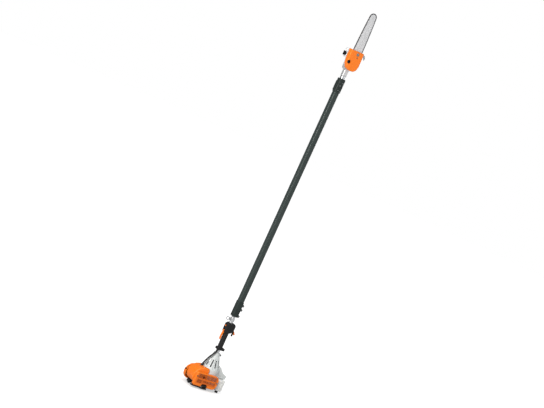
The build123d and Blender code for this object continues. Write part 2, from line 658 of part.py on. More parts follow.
def starter_pulley():
    pulley = post(-ROPE_X + 2, (ROPE_Z - 4, ROPE_Z + 4)) - post(5 + FIT, (ROPE_Z - 5, ROPE_Z + 5))
    groove = post(-ROPE_X + 3, (ROPE_Z - 2, ROPE_Z + 2)) - post(-ROPE_X - ROPE_R - 0.3, (ROPE_Z - 2, ROPE_Z + 2))
    return pulley - groove


def starter_rope():
    """Rope from the pulley's groove straight out to the grip."""
    return rod_y(ROPE_R, (-64, 0), ROPE_X, ROPE_Z)


def starter_grip():
    grip = block((-57, -19), (-79, -65), (ROPE_Z - 8, ROPE_Z + 8))
    grip = fillet(grip.edges().filter_by(Axis.Y), 6)
    return fillet(grip.edges().group_by(Axis.Y)[0], 3)


def rubber_feet():
    feet = [post(9, (FLOOR_Z, STARTER_Z[0]), -104, 8)]
    for y in (-42.0, 42.0):
        feet.append(post(10, (FLOOR_Z, TANK_Z[0]), 92, y))
    return group(feet)


def ignition_module():
    body = block((-74, -60), (-16, 16), (-232, -208)) - post(HOUSING_R + 1.5, (-238, -198))
    return Rot(0, 0, 35) * body


def crankshaft():
    """Two crank webs joined by the crank pin, on shaft ends that carry fan, clutch and starter."""
    web = Circle(34) - Pos(-30, 0) * Rectangle(28, 80)
    shaft = prism_z(web, (-290, -280)) + prism_z(web, (-268, -258))
    shaft += post(8, (-303, -288)) + post(8, (-260, -180.5))
    return shaft + post(6, (-282, -266), 16, 0)


def flywheel():
    """Fan wheel with curved vanes facing the air windows."""
    wheel = post(FLYWHEEL_R, (FLYWHEEL_Z[0], FLYWHEEL_Z[0] + 6)) + post(18, (FLYWHEEL_Z[0], FLYWHEEL_Z[1]))
    for i in range(14):
        vane = Rot(0, 0, 18) * block((22, FLYWHEEL_R - 4), (-1.4, 1.4), (FLYWHEEL_Z[0], FLYWHEEL_Z[1]))
        wheel += Rot(0, 0, 360 / 14 * i) * Pos(4, 0, 0) * vane
    wheel = wheel & post(FLYWHEEL_R, FLYWHEEL_Z)
    return wheel - post(8, (-238, -198))


def clutch_shoes():
    """Two centrifugal shoes on a hub."""
    ring = post(CLUTCH_R, (-198, -182)) - post(14, (-199, -181)) - block((-40, 40), (-2.5, 2.5), (-199, -181))
    hub = post(13.6, (-200, -182)) - post(8, (-201, -178))
    return group([ring, hub])


def clutch_drum():
    drum = post(DRUM_R, DRUM_Z) - post(DRUM_R - 2.6, (DRUM_Z[0], DRUM_Z[1] - 3))
    drum += post(10, (DRUM_Z[1] - 3, -146))
    return drum - post(LOWER_SHAFT_R, (DRUM_Z[1] - 4, -140))


def lower_drive_shaft():
    shaft = post(LOWER_SHAFT_R, LOWER_SHAFT_Z)
    bore = prism_z(RegularPolygon(HEX_BORE / 2, 6, major_radius=False), (HEX_ROD_Z[0] - 50, LOWER_SHAFT_Z[1]))
    return shaft - bore


# ---- saw head ----
def upper_drive_shaft():
    return prism_z(RegularPolygon(HEX_ROD / 2, 6, major_radius=False), HEX_ROD_Z)


def bevel_wheel(big_r, small_r, length, teeth):
    """Toothed frustum standing on z = 0 with its large end down."""
    wheel = turned([(0, 0), (big_r, 0), (small_r, length), (0, length)])
    for i in range(teeth):
        notch = Rot(0, 0, 360 / teeth * i) * Pos(big_r, 0, 0) * Rot(45, 0, 0) * Box(2 * (big_r - small_r) + 2, 1.8, 1.8)
        wheel -= notch
    return wheel


def bevel_pinion():
    """Ten-tooth pinion on the end of the upper shaft; its cone points at the sprocket axis."""
    low = SHAFT_Z - GEAR_R
    cone = Pos(0, 0, low) * bevel_wheel(PINION_R - 0.3, PINION_R / 2 - 0.3, GEAR_R / 2, 10)
    shank = post(5, (HEX_ROD_Z[1], low)) + post(9, (low - 6, low))
    return cone + shank


def bevel_gear():
    """Fifteen-tooth wheel on the sprocket shaft."""
    cone = bevel_wheel(GEAR_R - 0.3, GEAR_R / 2 - 0.3, PINION_R / 2, 15)
    wheel = Pos(0, PINION_R, SHAFT_Z) * Rot(90, 0, 0) * Rot(0, 0, 12) * cone
    wheel += rod_y(10, (PINION_R - 0.01, PINION_R + 6), 0, SHAFT_Z)
    return wheel - rod_y(4.5, (0, 40), 0, SHAFT_Z)


def sprocket_shaft():
    return rod_y(4.5, (-46, 25.3), 0, SHAFT_Z)


def chain_sprocket():
    wheel = rod_y(SPROCKET_R - 4, (BAR_Y - 5, BAR_Y + 5), 0, SHAFT_Z)
    for i in range(7):
        tooth = prism_y([(8, -4), (SPROCKET_R, -1.6), (SPROCKET_R, 1.6), (8, 4)], (BAR_Y - 2.2, BAR_Y + 2.2))
        wheel += Pos(0, 0, SHAFT_Z) * Rot(0, 360 / 7 * i, 0) * tooth
    wheel = wheel & rod_y(SPROCKET_R, (BAR_Y - 5, BAR_Y + 5), 0, SHAFT_Z)
    return wheel - rod_y(4.5, (-60, 0), 0, SHAFT_Z)


def head_bearings():
    """Ball-bearing rings for the sprocket shaft and the pinion."""
    rings = []
    for y in ((-16.0, -9.0), (18.5, 25.5)):
        rings.append(rod_y(11, y, 0, SHAFT_Z) - rod_y(4.5 + FIT, y, 0, SHAFT_Z))
    rings.append(post(11, (1950, 1962)) - post(5 + FIT, (1950, 1962)))
    return group(rings)


def gear_housing():
    """Casting: neck on the inner tube, gear chamber, and the plate that carries the bar."""
    neck = prism_z(RectangleRounded(34, 30, 8), (1905, 1952))
    chamber = block((-24, 26), (-18, 28), (1948, 2020))
    chamber = fillet(chamber.edges().filter_by(Axis.Y), 14)
    chamber = fillet(chamber.edges().group_by(Axis.Y)[-1], 5)
    body = neck + chamber
    for z in (1912.0, 1924.0, 1936.0):
        body += prism_z(RectangleRounded(37, 33, 9), (z, z + 4))
    body += cover_plate(PLATE_Y)
    body -= prism_z(RectangleRounded(*INNER_TUBE, INNER_TUBE_CORNER), (1900, INNER_TUBE_Z[1]))
    body -= post(11, (1940, 1962))
    body -= post(PINION_R + 1.5, (1962, 1995))
    body -= rod_y(GEAR_R + 1.5, (2, 18.3), 0, SHAFT_Z)
    body -= rod_y(11, (-16, 25.5), 0, SHAFT_Z)
    body -= rod_y(5.2, (-30, -15), 0, SHAFT_Z)
    return body - rod_y(STUD_R, (-30, -10), 0, STUD_Z)


TENSION_X = -16.0
TENSION_Y = -26.2
TENSION_R = 2.2
COVER_OUTLINE = [(-57, 2087), (-57, 2032), (-51, 1992), (-34, 1962), (-9, 1952), (19, 1953), (38, 1968),
                 (46, 1996), (46, 2030), (44, 2087)]
COVER_INNER = [(-54, 2084), (-54, 2032), (-48, 1993), (-32, 1965), (-9, 1955), (18, 1956), (35.5, 1970),
               (43, 1997), (43, 2030), (41.5, 2084)]


def cover_plate(y):
    """Outline of the sprocket cover with its lower corners rounded, between two y."""
    plate = prism_y(COVER_OUTLINE, y)
    return fillet(plate.edges().filter_by(Axis.Y).sort_by(Axis.Z)[:8], 22)


def sprocket_cover():
    """Orange cover over sprocket and chain, open at the top and with a chip outlet."""
    body = cover_plate(COVER_Y)
    body = fillet(body.edges().group_by(Axis.Y)[0], 7)
    cavity = prism_y(COVER_INNER, (COVER_Y[0] + 3, COVER_Y[1]))
    cavity = fillet(cavity.edges().filter_by(Axis.Y).sort_by(Axis.Z)[:8], 19)
    body -= fillet(cavity.edges().group_by(Axis.Y)[0], 3)
    body -= block((-40, 40), (BAR_Y - 6, COVER_Y[1] + 1), (2080, 2095))
    body += rod_y(14, (COVER_Y[0] + 1, NUT_SEAT_Y + 3), 0, STUD_Z)
    body -= rod_y(11.5, (-70, NUT_SEAT_Y), 0, STUD_Z)
    body -= rod_y(STUD_R + 0.3, (-70, -40), 0, STUD_Z)
    body -= rod_y(12.5, (-70, -45), -41, 2004)
    return body - rod_y(2.2, (-70, -50), 3, 2046)


def bar_nut():
    """Flanged hexagon nut on the bar stud."""
    nut = rod_y(9.5, (NUT_SEAT_Y - 1.6, NUT_SEAT_Y), 0, STUD_Z)
    hexagon = Pos(0, STUD_Z) * RegularPolygon(6.5, 6, major_radius=False)
    nut += extrude(Plane.XZ.offset(-NUT_SEAT_Y + 1.5) * hexagon, 6.5)
    return nut - rod_y(STUD_R, (-70, -45), 0, STUD_Z)


def bar_half_width(z):
    """Half width of the guide bar: parallel near the cover, tapering to the nose."""
    full = 31.0
    nose = 21.0
    t = max(0.0, min(1.0, (z - 2095.0) / (NOSE_Z - 2095.0)))
    return full - (full - nose) * (0.35 * t + 0.65 * t * t)


def bar_outline(grow=0.0):
    """Closed outline of the bar in (x, z), grown outwards by grow."""
    nose_r = bar_half_width(NOSE_Z)
    rows = [BAR_TAIL_Z + 26, 2095.0, 2140.0, 2190.0, 2240.0, 2285.0, NOSE_Z]
    right = [(bar_half_width(z) + grow, z) for z in rows]
    nose = []
    for i in range(1, 8):
        a = math.pi * i / 8
        nose.append(((nose_r + grow) * math.cos(a), NOSE_Z + (nose_r + grow) * math.sin(a)))
    left = [(-x, z) for x, z in reversed(right)]
    return right + nose + left


def guide_bar():
    """Guide bar with the peg that the tensioning screw drives."""
    tail = [(-20, BAR_TAIL_Z + 6), (-14, BAR_TAIL_Z), (14, BAR_TAIL_Z), (20, BAR_TAIL_Z + 6)]
    half = BAR_THICK / 2
    body = prism_y(bar_outline() + tail, (BAR_Y - half, BAR_Y + half))
    body -= block((-STUD_R - 0.3, STUD_R + 0.3), (-60, 0), (STUD_Z - 5, STUD_Z + BAR_SLIDE + 6))
    body -= rod_y(3.2, (-60, 0), TENSION_X, PEG_Z)
    body -= rod_y(2, (-60, 0), 0, NOSE_Z)
    peg = rod_y(3.1, (BAR_Y - half, -28), TENSION_X, PEG_Z)
    peg += block((TENSION_X - 4, TENSION_X + 4), (-30, -23), (PEG_Z - 4, PEG_Z + 4))
    peg -= post(TENSION_R + FIT, (PEG_Z - 5, PEG_Z + 5), TENSION_X, TENSION_Y)
    return group([body, peg])


def saw_chain():
    """Chain loop: round the bar nose, down both rails and round the sprocket."""
    sides = (BAR_Y - CHAIN_HALF, BAR_Y + CHAIN_HALF)
    low = []
    for i in range(0, 9):
        a = math.pi + math.pi * i / 8
        low.append((math.cos(a), math.sin(a)))
    inner = bar_outline(0.4) + [(CHAIN_TURN_R * c, SHAFT_Z + CHAIN_TURN_R * s) for c, s in low]
    far = CHAIN_TURN_R + CHAIN_HIGH
    outer = bar_outline(0.4 + CHAIN_HIGH) + [(far * c, SHAFT_Z + far * s) for c, s in low]
    return prism_y(outer, sides) - prism_y(inner, (sides[0] - 1, sides[1] + 1))


def bumper_spike():
    """Toothed metal spike at the side of the cover, holds the bar against a branch."""
    outline = [(28, 2046), (42, 2046), (48, 2062), (61, 2068), (74, 2060), (82, 2048), (86, 2062), (78, 2078),
               (58, 2084), (28, 2083)]
    body = prism_y(outline, (-17.8, -14.8))
    return body - rod_y(2.5, (-30, 0), 33, 2055) - rod_y(2.5, (-30, 0), 33, 2075)


def oil_tank():
    """Translucent chain-oil tank behind the bar plate."""
    body = block((-50, 22), (-17.5, 34), (2022, 2085))
    body = fillet(body.edges().filter_by(Axis.Y), 9)
    body = fillet(body.edges().group_by(Axis.Y)[-1], 7)
    body -= fillet(block((-47, 19), (-14.5, 31), (2025, 2082)).edges().filter_by(Axis.Y), 6)
    body += rod_x(12, (-53, -45), *OIL_NECK)
    return body - rod_x(9, (-55, -43), *OIL_NECK)


OIL_NECK = (10.0, 2045.0)


def oil_cap():
    """Winged cap on the oil tank."""
    cap = rod_x(14, (-61, -53.4), *OIL_NECK) + rod_x(8.6, (-53.4, -46), *OIL_NECK)
    wing = prism_x([(4, 2031), (16, 2031), (13, 2045), (16, 2059), (4, 2059), (7, 2045)], (-67, -61))
    return cap + wing


def head_screws():
    """Bar stud, housing screws, spike screws and the cover's small screw."""
    screws = [rod_y(STUD_R, (-60, PLATE_Y[1]), 0, STUD_Z)]
    for x, z in ((-13.0, 1961.0), (15.0, 1961.0), (-13.0, 2007.0), (15.0, 2007.0)):
        screws.append(Pos(x, 28, z) * Rot(-90, 0, 0) * post(4.2, (0, 3)))
    for z in (2055.0, 2075.0):
        screws.append(Pos(33, -14.8, z) * Rot(-90, 0, 0) * socket_screw(4.2, 2.5, 3, 3))
    screws.append(Pos(3, COVER_Y[0], 2046) * Rot(90, 0, 0) * socket_screw(3.6, 2.2, 1.6, 3))
    return group(screws)


def tension_screw():
    """Bar tensioning screw: threaded rod beside the stud with a slotted head at the top."""
    rod = post(TENSION_R, (2030, 2080), TENSION_X, TENSION_Y) + post(3.6, (2080, 2083), TENSION_X, TENSION_Y)
    return rod - block((TENSION_X - 5, TENSION_X + 5), (TENSION_Y - 0.5, TENSION_Y + 0.5), (2081.5, 2084))


def main():
    os.makedirs("parts", exist_ok=True)
    handle = handle_body()
    save(handle_half(handle, -1), "handle_shell_left")
    save(handle_half(handle, 1), "handle_shell_right")
    makers = (drive_tube, outer_tube, inner_tube, slide_bush, tube_bushes, lower_clamp, upper_clamp, clamp_knob,
              clamp_screws, carrying_eyelet, housing_screws, throttle_trigger, interlock_lever,
              stop_slider, throttle_cable, fan_housing, crankcase, cylinder, spark_plug, spark_plug_boot,
              muffler, muffler_cover, engine_shroud, air_filter_cover, filter_knob, carburettor, air_filter,
              choke_lever, fuel_tank, fuel_cap, primer_bulb, starter_housing, starter_pulley, starter_rope,
              starter_grip, rubber_feet, ignition_module, crankshaft, flywheel, clutch_shoes, clutch_drum,
              lower_drive_shaft, upper_drive_shaft, bevel_pinion, bevel_gear, sprocket_shaft, chain_sprocket,
              head_bearings, gear_housing, sprocket_cover, bar_nut, guide_bar, saw_chain, bumper_spike,
              oil_tank, oil_cap, head_screws, tension_screw)
    for maker in makers:
        save(maker(), maker.__name__)


main()
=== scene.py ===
import json
import math
import bmesh
import bpy
from mathutils import Matrix, Vector
from mathutils.bvhtree import BVHTree

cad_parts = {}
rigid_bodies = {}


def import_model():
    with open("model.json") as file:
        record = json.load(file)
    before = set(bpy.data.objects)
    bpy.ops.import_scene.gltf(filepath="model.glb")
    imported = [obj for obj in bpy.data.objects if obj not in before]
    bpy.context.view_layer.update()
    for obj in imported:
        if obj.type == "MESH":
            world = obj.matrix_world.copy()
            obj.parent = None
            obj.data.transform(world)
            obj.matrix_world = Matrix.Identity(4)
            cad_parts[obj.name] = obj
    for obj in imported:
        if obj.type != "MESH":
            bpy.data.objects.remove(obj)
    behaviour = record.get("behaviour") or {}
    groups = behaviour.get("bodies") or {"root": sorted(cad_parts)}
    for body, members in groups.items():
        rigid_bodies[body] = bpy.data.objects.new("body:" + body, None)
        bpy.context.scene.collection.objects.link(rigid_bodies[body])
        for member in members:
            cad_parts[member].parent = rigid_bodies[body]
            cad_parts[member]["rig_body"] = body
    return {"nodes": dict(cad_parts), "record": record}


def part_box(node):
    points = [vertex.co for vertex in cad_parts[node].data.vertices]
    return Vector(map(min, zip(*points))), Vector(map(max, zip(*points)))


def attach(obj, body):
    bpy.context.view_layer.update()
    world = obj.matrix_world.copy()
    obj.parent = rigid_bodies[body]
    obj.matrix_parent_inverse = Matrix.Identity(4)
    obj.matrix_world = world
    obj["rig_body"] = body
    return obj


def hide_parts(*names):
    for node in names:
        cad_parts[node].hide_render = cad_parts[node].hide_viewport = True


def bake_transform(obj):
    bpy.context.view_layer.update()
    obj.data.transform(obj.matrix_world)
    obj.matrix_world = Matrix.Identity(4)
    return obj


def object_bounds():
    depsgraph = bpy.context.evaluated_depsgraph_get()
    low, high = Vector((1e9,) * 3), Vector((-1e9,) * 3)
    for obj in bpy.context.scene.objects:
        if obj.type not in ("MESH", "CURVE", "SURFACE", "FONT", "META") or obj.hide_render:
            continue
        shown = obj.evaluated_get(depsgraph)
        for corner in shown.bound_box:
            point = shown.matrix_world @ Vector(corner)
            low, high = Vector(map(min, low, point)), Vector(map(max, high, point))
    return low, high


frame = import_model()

CAD_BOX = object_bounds()
NODES = frame["nodes"]
SCENE = bpy.context.scene


# ---------------------------------------------------------------- shader helper
class Finish:
    """A Principled material with procedural detail in object coordinates, in metres."""

    def __init__(self, name, colour, rough, metallic=0.0):
        self.mat = bpy.data.materials.new(name)
        self.mat.use_nodes = True
        self.tree = self.mat.node_tree
        self.bsdf = self.tree.nodes["Principled BSDF"]
        self.coord = self.new("ShaderNodeTexCoord").outputs["Object"]
        self.colour = colour
        self.shade = None
        self.put("Base Color", (*colour, 1))
        self.put("Roughness", rough)
        self.put("Metallic", metallic)
        self.height = []
        self.round = None

    def new(self, kind):
        return self.tree.nodes.new(kind)

    def put(self, socket, value):
        self.bsdf.inputs[socket].default_value = value

    def link(self, a, b):
        self.tree.links.new(a, b)

    def stretched(self, scale, turn=(0, 0, 0)):
        m = self.new("ShaderNodeMapping")
        m.inputs["Scale"].default_value = scale
        m.inputs["Rotation"].default_value = turn
        self.link(self.coord, m.inputs["Vector"])
        return m.outputs["Vector"]

    def noise(self, scale, detail=3.0, rough=0.55, stretch=(1, 1, 1)):
        n = self.new("ShaderNodeTexNoise")
        n.inputs["Scale"].default_value = scale
        n.inputs["Detail"].default_value = detail
        n.inputs["Roughness"].default_value = rough
        self.link(self.stretched(stretch), n.inputs["Vector"])
        return n.outputs["Fac"]

    def cells(self, scale, stretch=(1, 1, 1)):
        n = self.new("ShaderNodeTexVoronoi")
        n.inputs["Scale"].default_value = scale
        self.link(self.stretched(stretch), n.inputs["Vector"])
        return n.outputs["Distance"]

    def waves(self, scale, axis):
        n = self.new("ShaderNodeTexWave")
        n.bands_direction = axis
        n.inputs["Scale"].default_value = scale
        n.inputs["Distortion"].default_value = 0.0
        self.link(self.coord, n.inputs["Vector"])
        return n.outputs["Fac"]

    def span(self, value, a, b, lo, hi):
        m = self.new("ShaderNodeMapRange")
        m.inputs["From Min"].default_value = a
        m.inputs["From Max"].default_value = b
        m.inputs["To Min"].default_value = lo
        m.inputs["To Max"].default_value = hi
        self.link(value, m.inputs["Value"])
        return m.outputs["Result"]

    def times(self, a, b):
        m = self.new("ShaderNodeMath")
        m.operation = "MULTIPLY"
        self.link(a, m.inputs[0])
        self.link(b, m.inputs[1])
        return m.outputs[0]

    def patch(self, low, high, soft):
        """1 inside a box of object coordinates, fading out over soft metres."""
        parts = self.new("ShaderNodeSeparateXYZ")
        self.link(self.coord, parts.inputs["Vector"])
        mask = None
        for i in range(3):
            rise = self.span(parts.outputs[i], low[i] - soft, low[i] + soft, 0.0, 1.0)
            fall = self.span(parts.outputs[i], high[i] - soft, high[i] + soft, 1.0, 0.0)
            both = self.times(rise, fall)
            mask = both if mask is None else self.times(mask, both)
        return mask

    def tint(self, fac, other):
        """Moves the base colour towards another where fac is high."""
        m = self.new("ShaderNodeMix")
        m.data_type = "RGBA"
        self.link(fac, m.inputs["Factor"])
        if self.shade is None:
            m.inputs["A"].default_value = (*self.colour, 1)
        else:
            self.link(self.shade, m.inputs["A"])
        m.inputs["B"].default_value = (*other, 1)
        self.shade = m.outputs["Result"]
        self.link(self.shade, self.bsdf.inputs["Base Color"])
        return self

    def roughness(self, fac, lo, hi):
        self.link(self.span(fac, 0.3, 0.7, lo, hi), self.bsdf.inputs["Roughness"])
        return self

    def bump(self, fac, depth):
        self.height.append((fac, depth))
        return self

    def edges(self, radius, colour, strength, grain=140.0):
        """Rounds sharp edges in the shading and wears the colour there."""
        if self.round is None:
            b = self.new("ShaderNodeBevel")
            b.samples = 4
            b.inputs["Radius"].default_value = radius
            self.round = b.outputs["Normal"]
        geo = self.new("ShaderNodeNewGeometry")
        dot = self.new("ShaderNodeVectorMath")
        dot.operation = "DOT_PRODUCT"
        self.link(self.round, dot.inputs[0])
        self.link(geo.outputs["Normal"], dot.inputs[1])
        mask = self.span(dot.outputs["Value"], 0.995, 0.86, 0.0, strength)
        broken = self.span(self.noise(grain, 4), 0.42, 0.6, 0.0, 1.0)
        return self.tint(self.times(mask, broken), colour)

    def corner_shade_and_dust(self, distance, colour, strength):
        """Tints the colour in corners found by ambient occlusion: painted shade where the given colour is
        darker, dust where it is lighter.
        """
        ao = self.new("ShaderNodeAmbientOcclusion")
        ao.samples = 4
        ao.inputs["Distance"].default_value = distance
        mask = self.span(ao.outputs["AO"], 0.75, 0.25, 0.0, strength)
        return self.tint(self.times(mask, self.span(self.noise(60, 4), 0.35, 0.6, 0.3, 1.0)), colour)

    def done(self):
        normal = self.round
        for fac, depth in self.height:
            b = self.new("ShaderNodeBump")
            b.inputs["Strength"].default_value = 1.0
            b.inputs["Distance"].default_value = depth
            self.link(fac, b.inputs["Height"])
            if normal is not None:
                self.link(normal, b.inputs["Normal"])
            normal = b.outputs["Normal"]
        if normal is not None:
            self.link(normal, self.bsdf.inputs["Normal"])
        return self.mat


# ---------------------------------------------------------------- materials, one per record slot
def make_orange(name="orange_cover", shade_boxes=()):
    """Moulded orange cover; the boxes in the last argument get painted shade, a darker brown-orange."""
    f = Finish(name, (0.84, 0.185, 0.006), 0.38)
    f.put("Specular IOR Level", 0.35)
    f.tint(f.span(f.noise(9, 2), 0.35, 0.7, 0.0, 0.4), (0.74, 0.145, 0.005))
    f.tint(f.span(f.noise(420, 2), 0.62, 0.75, 0.0, 0.25), (0.88, 0.23, 0.02))
    for low, high in shade_boxes:
        # Painted shade over each listed louvre box: a darker brown-orange with a little noise.
        bank_shade = f.times(f.patch(low, high, 0.005), f.span(f.noise(38, 4), 0.3, 0.7, 0.55, 0.95))
        f.tint(bank_shade, (0.44, 0.070, 0.004))
    f.edges(0.0012, (0.92, 0.33, 0.06), 0.5)
    # Painted shade: the colour darkens in the corners, found by ambient occlusion.
    f.corner_shade_and_dust(0.010, (0.30, 0.07, 0.02), 0.55)
    f.roughness(f.noise(70, 3), 0.30, 0.46)
    f.bump(f.noise(1500, 2), 0.00006).bump(f.noise(45, 2), 0.0004)
    return f.done()


def make_black(name="black_plastic", colour=(0.0062, 0.0064, 0.0072)):
    f = Finish(name, colour, 0.5)
    f.put("Specular IOR Level", 0.28)
    f.tint(f.span(f.noise(14, 3), 0.4, 0.7, 0.0, 0.6), tuple(1.7 * c for c in colour))
    f.tint(f.span(f.noise(260, 4), 0.6, 0.72, 0.0, 0.22), (0.05, 0.047, 0.043))
    f.edges(0.0012, (0.045, 0.045, 0.047), 0.55)
    f.corner_shade_and_dust(0.012, (0.045, 0.040, 0.034), 0.35)
    f.roughness(f.noise(90, 3), 0.40, 0.60)
    f.bump(f.cells(1100), 0.00010).bump(f.noise(2600, 2), 0.00005)
    return f.done()


def make_grey():
    f = Finish("grey_polymer", (0.56, 0.585, 0.58), 0.42)
    f.tint(f.span(f.noise(11, 3), 0.35, 0.7, 0.0, 0.5), (0.49, 0.515, 0.51))
    f.edges(0.0014, (0.66, 0.68, 0.68), 0.4)
    # Painted shade: the colour darkens in the corners, found by ambient occlusion.
    f.corner_shade_and_dust(0.014, (0.17, 0.165, 0.15), 0.6)
    f.roughness(f.noise(80, 3), 0.34, 0.52)
    f.bump(f.noise(900, 3), 0.00009).bump(f.noise(40, 2), 0.0004)
    return f.done()


def make_cast():
    f = Finish("cast_alloy", (0.66, 0.665, 0.67), 0.42, 0.75)
    f.tint(f.span(f.noise(25, 4), 0.35, 0.7, 0.0, 0.6), (0.52, 0.52, 0.525))
    f.edges(0.0012, (0.78, 0.78, 0.78), 0.6)
    # Painted shade: the colour darkens in the corners, found by ambient occlusion.
    f.corner_shade_and_dust(0.012, (0.07, 0.062, 0.05), 0.6)
    f.roughness(f.noise(120, 3), 0.36, 0.56)
    f.bump(f.noise(700, 4), 0.00014).bump(f.cells(380), 0.00012)
    return f.done()


def make_tube_dark():
    f = Finish("tube_dark", (0.017, 0.0275, 0.025), 0.36, 0.1)
    f.put("Specular IOR Level", 0.4)
    f.put("Coat Weight", 0.08)
    f.put("Coat Roughness", 0.18)
    f.tint(f.span(f.noise(90, 3, 0.6, (1, 1, 0.02)), 0.35, 0.7, 0.0, 0.7), (0.026, 0.038, 0.035))
    f.tint(f.span(f.noise(3000, 2), 0.62, 0.72, 0.0, 0.4), (0.075, 0.095, 0.09))
    scratch = f.span(f.noise(800, 2, 0.5, (1, 1, 0.006)), 0.66, 0.72, 0.0, 0.35)
    f.tint(scratch, (0.12, 0.135, 0.13))
    f.edges(0.001, (0.20, 0.21, 0.21), 0.4)
    f.roughness(f.noise(60, 3, 0.6, (1, 1, 0.08)), 0.28, 0.44)
    f.bump(f.noise(1200, 2), 0.00005).bump(f.noise(500, 2, 0.5, (1, 1, 0.01)), 0.00008)
    return f.done()


def make_tube_silver():
    f = Finish("tube_silver", (0.70, 0.71, 0.72), 0.27, 1.0)
    f.tint(f.span(f.noise(220, 3, 0.6, (1, 1, 0.01)), 0.35, 0.7, 0.0, 0.6), (0.56, 0.57, 0.585))
    # Painted shade: the colour darkens in the corners, found by ambient occlusion.
    f.corner_shade_and_dust(0.010, (0.12, 0.115, 0.10), 0.5)
    f.roughness(f.noise(300, 3, 0.6, (1, 1, 0.02)), 0.20, 0.38)
    f.bump(f.noise(1500, 2, 0.5, (1, 1, 0.006)), 0.00007)
    f.edges(0.0008, (0.85, 0.85, 0.85), 0.5)
    return f.done()


def make_tank():
    f = Finish("clear_tank", (0.93, 0.935, 0.915), 0.34)
    f.put("Transmission Weight", 0.28)
    f.put("IOR", 1.38)
    f.put("Subsurface Weight", 0.35)
    f.put("Subsurface Radius", (0.010, 0.010, 0.009))
    f.put("Subsurface Scale", 0.5)
    f.tint(f.span(f.noise(16, 3), 0.4, 0.7, 0.0, 0.5), (0.87, 0.875, 0.84))
    f.edges(0.0012, (0.92, 0.92, 0.90), 0.35)
    f.roughness(f.noise(100, 3), 0.26, 0.44)
    f.bump(f.noise(700, 3), 0.00008).bump(f.noise(35, 2), 0.0005)
    return f.done()


def make_bar():
    f = Finish("bar_steel", (0.64, 0.64, 0.65), 0.36, 0.45)
    f.tint(f.span(f.noise(30, 4), 0.4, 0.7, 0.0, 0.4), (0.55, 0.55, 0.56))
    fine = f.span(f.noise(900, 2, 0.5, (1, 1, 0.012)), 0.6, 0.72, 0.0, 0.15)
    f.tint(fine, (0.44, 0.44, 0.45))
    f.edges(0.0007, (0.42, 0.42, 0.42), 0.6)
    f.roughness(f.noise(420, 3, 0.6, (1, 1, 0.03)), 0.24, 0.42)
    f.bump(f.noise(1600, 2, 0.5, (1, 1, 0.01)), 0.00006)
    return f.done()


def make_chain():
    f = Finish("chain_steel", (0.060, 0.060, 0.063), 0.36, 0.8)
    f.tint(f.span(f.noise(160, 4), 0.4, 0.7, 0.0, 0.7), (0.030, 0.029, 0.028))
    f.edges(0.0004, (0.42, 0.42, 0.42), 0.6, 700)
    f.roughness(f.noise(400, 3), 0.24, 0.46)
    f.bump(f.noise(2200, 3), 0.00004)
    return f.done()


def make_steel(name="steel", colour=(0.46, 0.46, 0.47)):
    f = Finish(name, colour, 0.3, 1.0)
    dark = tuple(0.6 * c for c in colour)
    f.tint(f.span(f.noise(120, 4), 0.4, 0.7, 0.0, 0.6), dark)
    f.edges(0.0006, tuple(min(1, 1.5 * c) for c in colour), 0.5, 500)
    # Painted shade: the colour darkens in the corners, found by ambient occlusion.
    f.corner_shade_and_dust(0.005, (0.03, 0.028, 0.025), 0.6)
    f.roughness(f.noise(500, 3), 0.22, 0.42)
    f.bump(f.noise(1800, 3), 0.00005)
    return f.done()


def make_bush():
    f = Finish("bush_polymer", (0.66, 0.64, 0.56), 0.45)
    f.tint(f.span(f.noise(50, 3), 0.4, 0.7, 0.0, 0.6), (0.52, 0.50, 0.43))
    f.roughness(f.noise(200, 3), 0.38, 0.55)
    f.bump(f.noise(1200, 3), 0.00006)
    return f.done()


def make_rubber():
    f = Finish("rubber", (0.013, 0.013, 0.0135), 0.68)
    f.put("Specular IOR Level", 0.35)
    f.tint(f.span(f.noise(120, 4), 0.5, 0.7, 0.0, 0.5), (0.045, 0.042, 0.038))
    f.edges(0.0010, (0.05, 0.048, 0.045), 0.5)
    f.roughness(f.noise(260, 3), 0.58, 0.8)
    f.bump(f.noise(1400, 3), 0.00010)
    return f.done()


def make_cable():
    f = Finish("cable_sheath", (0.012, 0.012, 0.013), 0.46)
    f.put("Specular IOR Level", 0.4)
    f.tint(f.span(f.noise(200, 3), 0.5, 0.7, 0.0, 0.5), (0.035, 0.034, 0.033))
    f.roughness(f.noise(300, 3), 0.38, 0.58)
    f.bump(f.waves(110, "Z"), 0.00035).bump(f.noise(1500, 2), 0.00005)
    return f.done()


def make_rope():
    f = Finish("rope_fibre", (0.62, 0.58, 0.48), 0.8)
    f.put("Sheen Weight", 0.25)
    f.tint(f.span(f.noise(700, 4), 0.4, 0.7, 0.0, 0.8), (0.30, 0.27, 0.21))
    f.tint(f.span(f.noise(90, 3), 0.5, 0.7, 0.0, 0.4), (0.18, 0.17, 0.15))
    f.roughness(f.noise(600, 3), 0.7, 0.95)
    f.bump(f.noise(4000, 3), 0.00012)
    return f.done()


def make_felt():
    f = Finish("filter_felt", (0.55, 0.49, 0.34), 0.92)
    f.put("Sheen Weight", 0.3)
    f.tint(f.span(f.noise(300, 5), 0.4, 0.65, 0.0, 0.7), (0.32, 0.27, 0.18))
    f.roughness(f.noise(500, 3), 0.85, 0.98)
    f.bump(f.noise(2500, 4), 0.0003)
    return f.done()


def make_muffler():
    f = Finish("muffler_steel", (0.17, 0.145, 0.13), 0.42, 0.95)
    f.tint(f.span(f.noise(22, 4), 0.42, 0.66, 0.0, 0.8), (0.20, 0.12, 0.07))
    f.tint(f.span(f.noise(60, 5), 0.5, 0.7, 0.0, 0.7), (0.06, 0.055, 0.055))
    f.edges(0.001, (0.4, 0.38, 0.36), 0.4)
    f.roughness(f.noise(150, 4), 0.34, 0.62)
    f.bump(f.noise(800, 4), 0.00012)
    return f.done()


